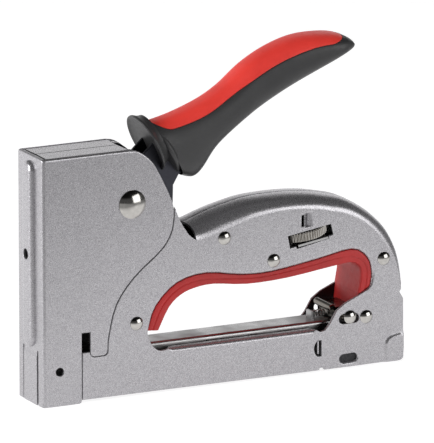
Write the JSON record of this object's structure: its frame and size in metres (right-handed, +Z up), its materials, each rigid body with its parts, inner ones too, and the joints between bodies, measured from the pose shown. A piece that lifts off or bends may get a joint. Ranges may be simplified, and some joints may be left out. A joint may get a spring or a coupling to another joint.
{
  "type": "staple gun",
  "caption": "Hand staple gun: pressed steel body with a hand opening, squeeze lever with soft grip, sprung hammer, power wheel and slide-out magazine.",
  "frame": {"origin": "middle of the bounding box's underside, level with the foot of the nose", "axes": "-X towards the nose, +X towards the rear of the body and the handle's end, +Z up, Y across the width"},
  "size_m": [0.1834, 0.031, 0.154],
  "materials": {
    "satin_silver_paint": "fine-grained satin metallic paint",
    "chrome_rivet": "polished domes",
    "bright_steel": "brushed plated steel",
    "dark_steel": "dark blue-grey oxide",
    "spring_steel": "oiled spring steel",
    "nickel_wheel": "knurled nickel plate",
    "black_plastic": "fine satin grain",
    "red_rubber": "matte soft grip",
    "red_plastic": "satin moulded",
    "bumper_rubber": "matte"
  },
  "bodies": {
    "body": {"left_shell": "satin_silver_paint", "right_shell": "satin_silver_paint", "nose_cover": "satin_silver_paint", "guide_plate": "bright_steel", "driver_guide": "bright_steel", "hammer_bumper": "bumper_rubber", "grip_liner": "red_plastic", "magazine_channel": "bright_steel", "body_rivets": "chrome_rivet", "lever_pivot_rivet": "chrome_rivet", "pivot_bush": "bright_steel", "screw_bracket": "bright_steel", "lever_return_spring": "spring_steel", "main_leaf_spring": "spring_steel", "latch_spring": "spring_steel"},
    "lever": {"lever_steel": "dark_steel", "lift_pin": "bright_steel", "grip_core": "black_plastic", "grip_pad": "red_rubber"},
    "hammer": {"driver_blade": "bright_steel", "hammer_block": "bright_steel"},
    "wheel": {"power_wheel": "nickel_wheel", "power_screw": "bright_steel"},
    "nut": {"power_nut": "bright_steel"},
    "magazine": {"magazine_rail": "bright_steel", "rail_end_cap": "bright_steel", "pusher_rod": "bright_steel", "pusher_spring": "spring_steel"},
    "pusher": {"staple_pusher": "bright_steel"},
    "latch": {"latch_plate": "bright_steel", "latch_pin": "chrome_rivet"}
  },
  "joints": [
    {"name": "lever_squeeze", "type": "hinge", "parent": "body", "child": "lever", "pos_m": [-0.04435, 0, 0.0883], "axis": [0, 1, 0], "range_deg": [0, 23], "stiffness_Nm_per_rad": 0.9, "springref_deg": -20.05, "deforming": ["lever_return_spring", "main_leaf_spring"]},
    {"name": "hammer_lift", "type": "slide", "parent": "body", "child": "hammer", "axis": [0, 0, 1], "range_m": [0, 0.01456], "deforming": ["main_leaf_spring"]},
    {"name": "wheel_turn", "type": "hinge", "parent": "body", "child": "wheel", "pos_m": [0.04435, 0, 0.064], "axis": [-0.1513, 0, 0.9885], "range_deg": [-360, 360]},
    {"name": "nut_travel", "type": "slide", "parent": "body", "child": "nut", "axis": [-0.1513, 0, 0.9885], "range_m": [-0.00081, 0.00081], "deforming": ["main_leaf_spring"]},
    {"name": "magazine_pull", "type": "slide", "parent": "body", "child": "magazine", "axis": [1, 0, 0], "range_m": [0, 0.1]},
    {"name": "pusher_travel", "type": "slide", "parent": "magazine", "child": "pusher", "axis": [1, 0, 0], "range_m": [0, 0.095], "stiffness_N_per_m": 25, "springref_m": -0.1, "deforming": ["pusher_spring"]},
    {"name": "latch_push", "type": "slide", "parent": "body", "child": "latch", "axis": [-1, 0, 0], "range_m": [0, 0.0034], "stiffness_N_per_m": 500, "springref_m": -0.004, "deforming": ["latch_spring"]}
  ],
  "couplings": [
    {"joint": "hammer_lift", "follows": "lever_squeeze", "m_per_rad": 0.036255},
    {"joint": "nut_travel", "follows": "wheel_turn", "m_per_rad": 0.000127}
  ]
}
